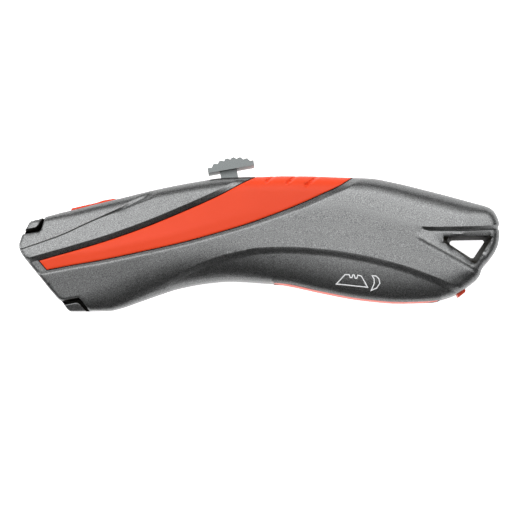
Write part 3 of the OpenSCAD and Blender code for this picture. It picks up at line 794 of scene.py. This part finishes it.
def make_tabs(material):
    """Two lugs of the right casting that fill the notches in the left one's nose."""
    parts, faces = [], []
    soft = 0.35
    for tab in TABS:
        rim = resample(tab, 0.4, True)

        def keep(p, tab=tab):
            return inside(OUTLINE, p) & inside(tab, p)

        low, high = rim.min(0), rim.max(0)
        rings = [(resample(inset(tab, s), 0.4, True), True) for s in (0.12, soft)]
        points = fine_grid(low, high, 0.5, 0.2)
        v, f = triangulate([(OUTLINE, True), (rim, True)] + rings, points, keep)
        face = plain_height(v[:, 0], v[:, 1]) - 0.3
        if tab is LOWER_TAB:
            # This lug is lower than the casting round it, and falls towards the belly.
            face = 6.3 + 0.36 * (v[:, 1] - high[1])
        z = face - soft * np.clip(1 - distance(tab, v)[0] / soft, 0, 1) ** 2
        p, q = solid_between(v, f, z, np.full(len(f), -0.6))
        faces += [tuple(i + len(parts) for i in t) for t in q]
        parts += [tuple(row) for row in p]
    obj = new_mesh("nose_lugs", np.array(parts), faces, material, "housing", 1, sharp=20)
    raw_inside_and_painted_shade(obj, np.array(parts), 1)


def inset(polygon, amount):
    """Polygon with each side moved inwards."""
    p = np.array(polygon, float)
    area = np.sum(p[:, 0] * np.roll(p[:, 1], -1) - np.roll(p[:, 0], -1) * p[:, 1])
    turn = 1 if area > 0 else -1
    out = []
    for i in range(len(p)):
        a, b, c = p[i - 1], p[i], p[(i + 1) % len(p)]
        n1, n2 = [np.array([-d[1], d[0]]) / np.linalg.norm(d) * turn for d in (b - a, c - b)]
        n = n1 + n2
        out.append(b + n * amount * 2 / np.dot(n, n))
    return np.array(out)


def make_inlay(side, material):
    """One grip inlay, a little smaller than its seat, which covers the spine at the thumb rest."""
    gap = INLAY_GAP
    insets = (gap, gap + 0.15, gap + 0.35, gap + 0.8)
    lines = [(OUTLINE, True)]
    lines += followed(INLAY_TOP, TOP_SPAN, *(-s for s in insets))
    lines += followed(INLAY_BOTTOM, BOTTOM_SPAN, *insets)
    lines += [(seat_line(s), False) for s in (gap, gap + 0.35)]
    band_edge = thumb_band()[:THUMB_STEPS]
    lines += [(resample(band_edge + (0, lift), 0.6), False) for lift in (0.15, 0.2)]

    def keep(p):
        x, y = p[:, 0], p[:, 1]
        low, up = beside(INLAY_BOTTOM, x, y), beside(INLAY_TOP, x, y)
        return inside(OUTLINE, p) & (low > gap) & ((up < -gap) | (x > -1)) & (end_side(x, y) > gap)

    at_grooves = fine_grid((-3, 15), (30, 21.5), 0.45, 0.3)
    v, f = triangulate(lines, ring_points() + grid_points(1.2) + at_grooves, keep)
    x, y = v[:, 0], v[:, 1]
    z = inlay_height(x, y)
    on_spine = (y > curve(SPINE, x) - THUMB_SKIN + 0.17) & (x > THUMB_FROM - 0.3)
    seat = plain_height(x, y) - panel_sink(x, y) - SEAT_DEPTH
    under = np.minimum(np.where(on_spine, 0.0, seat + 0.1), z - 0.3)
    points, faces = solid_between(v, f, z, [under[t] for t in f])
    name = "left_inlay_panel" if side > 0 else "right_inlay_panel"
    obj = new_mesh(name, points, faces, material, "housing", side)
    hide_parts("left_grip_inlay" if side > 0 else "right_grip_inlay")


def make_signs(material):
    """Two printed outlines of blade shapes that the knife takes."""
    points, faces = [], []
    steps = 6
    for corners in (BLADE_SIGN, HOOK_SIGN):
        rings = []
        for shift in (-SIGN_LINE / 2, SIGN_LINE / 2):
            p = inset(corners, shift)
            q = np.roll(p, -1, axis=0)
            rings.append(np.vstack([a + (b - a) * np.arange(steps)[:, None] / steps for a, b in zip(p, q)]))
        outer, inner = rings
        n, base = len(outer), len(points)
        section = ((outer, SIGN_PROUD), (inner, SIGN_PROUD), (inner, SIGN_SUNK), (outer, SIGN_SUNK))
        for ring, lift in section:
            points += [(*p, z + lift) for p, z in zip(ring, shell_height(ring[:, 0], ring[:, 1]))]
        for i in range(n):
            j = (i + 1) % n
            for r in range(4):
                s = (r + 1) % 4
                faces.append(tuple(base + k for k in (r * n + i, r * n + j, s * n + j, s * n + i)))
    new_mesh("blade_signs", np.array(points), faces, material, "housing")


# ---------------------------------------------------------------- materials
def add_ramp(tree, source, stops):
    """Colour ramp on a node's output, from pairs of place and colour."""
    node = tree.nodes.new("ShaderNodeValToRGB")
    ends = node.color_ramp.elements
    while len(ends) < len(stops):
        ends.new(0.5)
    for end, (at, colour) in zip(ends, stops):
        end.position = at
        end.color = (*colour, 1)
    tree.links.new(source, node.inputs["Fac"])
    return node.outputs["Color"]


def greys(*stops):
    """Stops of a ramp from pairs of place and brightness."""
    return [(at, (value,) * 3) for at, value in stops]


class Nodes:
    """A material's node tree, written briefly."""

    def __init__(self, name, **sockets):
        self.material = bpy.data.materials.new(name)
        self.material.use_nodes = True
        self.tree = self.material.node_tree
        self.bsdf = next(n for n in self.tree.nodes if n.type == "BSDF_PRINCIPLED")
        for key, value in sockets.items():
            self.bsdf.inputs[key.title()].default_value = value

    def add(self, kind, **values):
        node = self.tree.nodes.new(kind)
        for key, value in values.items():
            node.inputs[key].default_value = value
        return node

    def link(self, a, b):
        self.tree.links.new(a, b)

    def place(self, stretch=(1, 1, 1)):
        """The piece's own coordinates, stretched by direction."""
        coords = self.add("ShaderNodeTexCoord")
        mapping = self.add("ShaderNodeMapping", Scale=stretch)
        self.link(coords.outputs["Object"], mapping.inputs["Vector"])
        return mapping.outputs["Vector"]

    def noise(self, vector, scale, detail=2.0, rough=0.5):
        node = self.add("ShaderNodeTexNoise", Scale=scale, Detail=detail, Roughness=rough)
        self.link(vector, node.inputs["Vector"])
        return node.outputs["Fac"]

    def colour(self, source, *stops):
        self.link(add_ramp(self.tree, source, stops), self.bsdf.inputs["Base Color"])

    def rough(self, source, low, high):
        """Roughness that varies with the source."""
        shade = add_ramp(self.tree, source, greys((0.3, low), (0.7, high)))
        self.link(shade, self.bsdf.inputs["Roughness"])

    def bump(self, *layers):
        """Bump from layers of source, strength and distance in metres, one on the other."""
        normal = None
        for source, strength, reach in layers:
            node = self.add("ShaderNodeBump", Strength=strength, Distance=reach)
            self.link(source, node.inputs["Height"])
            if normal:
                self.link(normal, node.inputs["Normal"])
            normal = node.outputs["Normal"]
        self.link(normal, self.bsdf.inputs["Normal"])


def powder_coat():
    """Grey metallic powder coat with fine light and dark specks."""
    m = Nodes("speckled_powder_coat", metallic=0.92, roughness=0.36)
    at = m.place()
    grain = m.noise(at, 3600, rough=0.6)
    cloud = m.noise(at, 60)
    flake = m.add("ShaderNodeTexVoronoi", Scale=3000)
    m.link(at, flake.inputs["Vector"])
    dark, middle, light = (0.085, 0.087, 0.088), (0.165, 0.168, 0.168), (0.30, 0.303, 0.303)
    m.colour(grain, (0.32, dark), (0.5, middle), (0.68, light))
    m.rough(grain, 0.27, 0.42)
    m.bump((cloud, 0.05, 0.0004), (flake.outputs["Distance"], 0.12, 0.00012), (grain, 0.25, 0.00008))
    return m.material


def moulded(name, light, dark, roughness, texture=2200, strength=0.12):
    """Moulded plastic with a fine texture and a faint change of colour."""
    m = Nodes(name, roughness=roughness)
    m.bsdf.inputs["Specular IOR Level"].default_value = 0.2
    at = m.place()
    grain = m.noise(at, texture)
    broad = m.noise(at, 45)
    m.colour(broad, (0.3, dark), (0.7, light))
    m.rough(grain, roughness - 0.06, roughness + 0.08)
    m.bump((grain, strength, 0.00006))
    return m.material


def metal(name, light, dark, roughness, stretch=(1, 1, 1), scale=900, strength=0.08):
    """Bare metal with a grain, which the stretch turns into brush marks."""
    m = Nodes(name, metallic=1.0, roughness=roughness)
    grain = m.noise(m.place(stretch), scale, 3.0, 0.6)
    m.colour(grain, (0.25, dark), (0.75, light))
    m.rough(grain, roughness - 0.07, roughness + 0.07)
    m.bump((grain, strength, 0.00005))
    return m.material


# By the frame's material slots, and two more that only Blender uses.
MATERIALS = {
    "shell": powder_coat(),
    "inlay": moulded("orange_inlay", (0.9, 0.075, 0.022), (0.86, 0.068, 0.018), 0.4),
    "orange_plastic": moulded("orange_plastic", (0.9, 0.075, 0.025), (0.84, 0.064, 0.02), 0.38),
    "hardware": metal("zinc_plate", (0.62, 0.63, 0.65), (0.45, 0.46, 0.48), 0.32),
    "spring_steel": metal("spring_steel", (0.6, 0.61, 0.63), (0.42, 0.43, 0.45), 0.28, (1, 8, 1)),
    "blade_steel": metal("ground_blade", (0.68, 0.69, 0.71), (0.5, 0.51, 0.53), 0.22, (0.4, 9, 1), 1400),
    "slider_cast": metal("bead_blasted_casting", (0.22, 0.235, 0.235), (0.12, 0.13, 0.13), 0.45,
                         scale=3000, strength=0.25),
    "carrier": moulded("glass_filled_nylon", (0.035, 0.035, 0.037), (0.022, 0.022, 0.024), 0.5,
                       1500, 0.2),
    "print": moulded("printed_white", (0.95, 0.96, 0.97), (0.85, 0.86, 0.87), 0.5, 3000, 0.1),
    # Dark brownish metal for the uncoated inside, also used as painted shade on the lanyard hole's walls
    # and the inlay's seat.
    "raw_casting_and_painted_shade": moulded("raw_casting_and_painted_shade", (0.035, 0.031, 0.024), (0.022, 0.02, 0.016), 0.55,
                           2600, 0.25),
}


def dress_nodes():
    """Materials and small edge rounding on the CAD nodes that stay."""
    slots = {s["node"]: s["material_slot"] for s in frame["record"]["subparts"]}
    replaced = {"left_shell", "right_shell", "left_grip_inlay", "right_grip_inlay"}
    rounding = {
        "thumb_slider": 0.18, "release_button": 0.25, "blade_magazine": 0.3,
        "magazine_latch": 0.25, "blade_carrier": 0.2, "body_screws": 0.12,
    }
    for name, obj in frame["nodes"].items():
        if name in replaced:
            continue
        obj.data.materials.clear()
        obj.data.materials.append(MATERIALS[slots[name]])
        if name in rounding:
            bevel = obj.modifiers.new("edge_rounding", "BEVEL")
            bevel.width = rounding[name] * MM
            bevel.segments = 3
            bevel.limit_method = "ANGLE"
            bevel.angle_limit = math.radians(35)
            bevel.harden_normals = True


# ---------------------------------------------------------------- stage, light, camera
def make_stage():
    """Pale floor just under the knife."""
    mesh = bpy.data.meshes.new("floor")
    half, low = 3.0, -0.2 * MM
    corners = [(-half, -half, low), (half, -half, low), (half, half, low), (-half, half, low)]
    mesh.from_pydata(corners, [], [(0, 1, 2, 3)])
    m = Nodes("pale_floor", roughness=0.9)
    m.bsdf.inputs["Base Color"].default_value = (0.7, 0.7, 0.7, 1)
    m.bsdf.inputs["Specular IOR Level"].default_value = 0.1
    m.bsdf.inputs["Emission Color"].default_value = (1, 1, 1, 1)
    m.bsdf.inputs["Emission Strength"].default_value = 1.0
    mesh.materials.append(m.material)
    floor = bpy.data.objects.new("floor", mesh)
    bpy.context.scene.collection.objects.link(floor)


def make_light():
    """Soft light beyond the nose, for the edges that face it."""
    data = bpy.data.lights.new("side_strip", "AREA")
    data.shape = "RECTANGLE"
    data.size, data.size_y = 0.5, 0.25
    data.energy = 2.5
    light = bpy.data.objects.new("side_strip", data)
    light.location = (-0.9, 0.1, 0.35)
    light.rotation_mode = "QUATERNION"
    light.rotation_quaternion = (-light.location).to_track_quat("-Z", "Y")
    bpy.context.scene.collection.objects.link(light)


def make_world():
    """Soft box high on the spine's side, dark walls round it, and a bright horizon."""
    world = bpy.data.worlds.new("studio")
    world.use_nodes = True
    tree = world.node_tree
    back = next(n for n in tree.nodes if n.type == "BACKGROUND")
    coords = tree.nodes.new("ShaderNodeTexCoord")

    def along(direction):
        """How nearly a ray goes in the direction, from -1 to 1."""
        node = tree.nodes.new("ShaderNodeVectorMath")
        node.operation = "DOT_PRODUCT"
        tree.links.new(coords.outputs["Generated"], node.inputs[0])
        node.inputs[1].default_value = Vector(direction).normalized()
        return node.outputs["Value"]

    def mix(kind, a, b):
        node = tree.nodes.new("ShaderNodeMixRGB")
        node.blend_type = kind
        node.inputs["Fac"].default_value = 1
        tree.links.new(a, node.inputs["Color1"])
        tree.links.new(b, node.inputs["Color2"])
        return node.outputs["Color"]

    up = along((0, 0, 1))
    glow = greys((0.35, 0.0), (0.5, 0.015), (0.62, 0.08), (0.77, 0.3), (0.94, 0.63), (1.0, 1.0))
    box = add_ramp(tree, along((0, 0.45, 1)), glow)
    high = add_ramp(tree, up, greys((0.35, 0.0), (0.5, 0.16), (0.65, 0.7), (0.8, 1.0)))
    box = mix("MULTIPLY", box, high)
    horizon = add_ramp(tree, up, greys((0.0, 0.34), (0.09, 0.17), (0.2, 0.035), (0.32, 0.0)))
    tree.links.new(mix("ADD", box, horizon), back.inputs["Color"])
    back.inputs["Strength"].default_value = 3.8
    bpy.context.scene.world = world


def make_camera():
    """Camera over the left side, tipped a little towards the belly, at the photo's framing."""
    data = bpy.data.cameras.new("camera")
    data.sensor_width = 36
    reach, field = 1.1, 0.1862
    data.lens = data.sensor_width * reach / field
    data.clip_start, data.clip_end = 0.01, 20
    camera = bpy.data.objects.new("camera", data)
    elevation = math.radians(86)
    aim = Vector(to_row([(-1.46, -7.3, 0)])[0])
    back = Vector((0, -math.cos(elevation), math.sin(elevation)))
    camera.location = aim + back * reach
    camera.rotation_mode = "QUATERNION"
    camera.rotation_quaternion = (-back).to_track_quat("-Z", "Y")
    bpy.context.scene.collection.objects.link(camera)
    bpy.context.scene.camera = camera


make_stage()
make_world()
make_light()
make_camera()
make_shell(1, MATERIALS["shell"])
make_shell(-1, MATERIALS["shell"])
make_tabs(MATERIALS["shell"])
make_inlay(1, MATERIALS["inlay"])
make_inlay(-1, MATERIALS["inlay"])
make_signs(MATERIALS["print"])
dress_nodes()

bpy.context.scene.view_settings.view_transform = "Standard"
